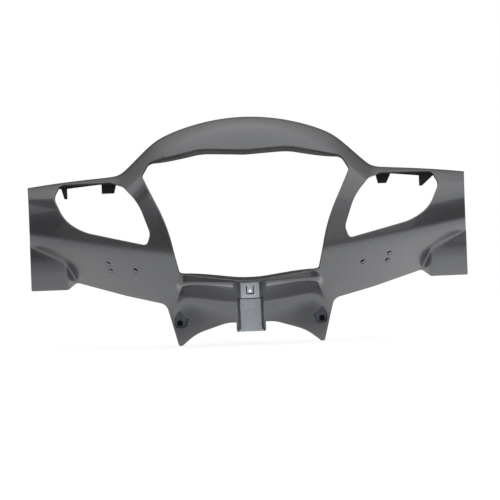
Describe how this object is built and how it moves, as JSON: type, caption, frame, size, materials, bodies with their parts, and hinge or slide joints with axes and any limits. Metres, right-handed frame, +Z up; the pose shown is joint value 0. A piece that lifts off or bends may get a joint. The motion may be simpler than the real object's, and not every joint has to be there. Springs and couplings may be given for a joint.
{
  "type": "motorcycle headlight cowl",
  "caption": "One-piece moulded front handlebar cover with a visor, a headlight opening, turn signal openings, legs with screw pockets and a centre bracket.",
  "frame": {"origin": "midway between the two lower screw holes, in the plane that the screw heads seat on", "axes": "+X to the right seen from the front, along the arms; -Y to the front, the way the lamps shine; +Z up"},
  "size_m": [0.455, 0.1165, 0.2303],
  "materials": {
    "painted_plastic": "dark metallic grey lacquer outside, bare black plastic inside"
  },
  "bodies": {
    "root": {"headlight_cowl": "painted_plastic"}
  },
  "joints": []
}
